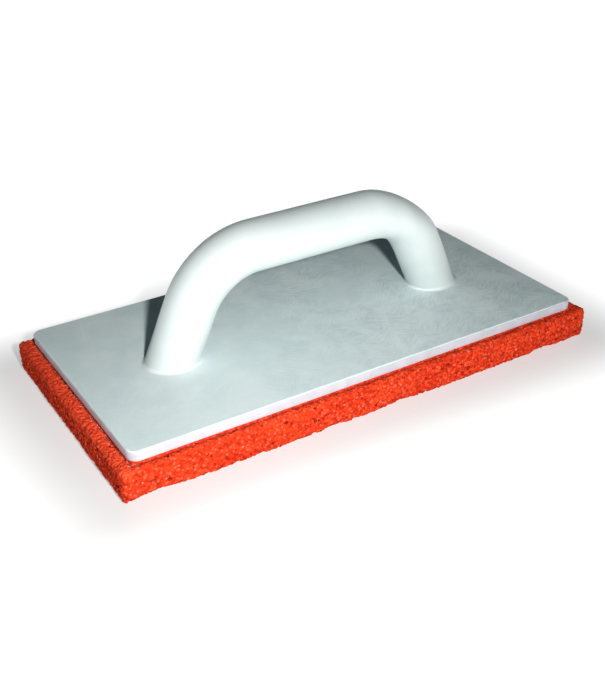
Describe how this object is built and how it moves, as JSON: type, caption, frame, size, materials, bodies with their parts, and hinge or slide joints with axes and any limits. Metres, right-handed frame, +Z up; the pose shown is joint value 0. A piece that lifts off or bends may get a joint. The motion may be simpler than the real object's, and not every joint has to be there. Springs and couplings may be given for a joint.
{
  "type": "sponge rubber float",
  "caption": "Plasterer's and tiler's float: a flat plastic plate with a bent tube handle on top and a thick coarse sponge rubber pad glued underneath.",
  "frame": {"origin": "centre of the pad's working face, which is the lowest face", "axes": "+X along the length of the pad and handle, +Y across, +Z up from the working face to the grip"},
  "size_m": [0.28, 0.14, 0.0871],
  "materials": {
    "sponge_rubber": "coarse open-celled orange-red rubber, dull",
    "contact_adhesive": "dark dried contact adhesive",
    "plate_plastic": "pale grey moulded plastic, satin with faint swirls and scratches",
    "screw_steel": "zinc-plated steel",
    "plug_plastic": "turned white plastic",
    "handle_plastic": "smooth white plastic with a soft shine",
    "bead_cement": "dried white plastic cement"
  },
  "bodies": {
    "root": {"sponge_pad": "sponge_rubber", "pad_adhesive": "contact_adhesive", "backing_plate": "plate_plastic", "foot_screws": "screw_steel", "left_foot_plug": "plug_plastic", "right_foot_plug": "plug_plastic", "handle_tube": "handle_plastic", "left_foot_bead": "bead_cement", "right_foot_bead": "bead_cement"}
  },
  "joints": []
}
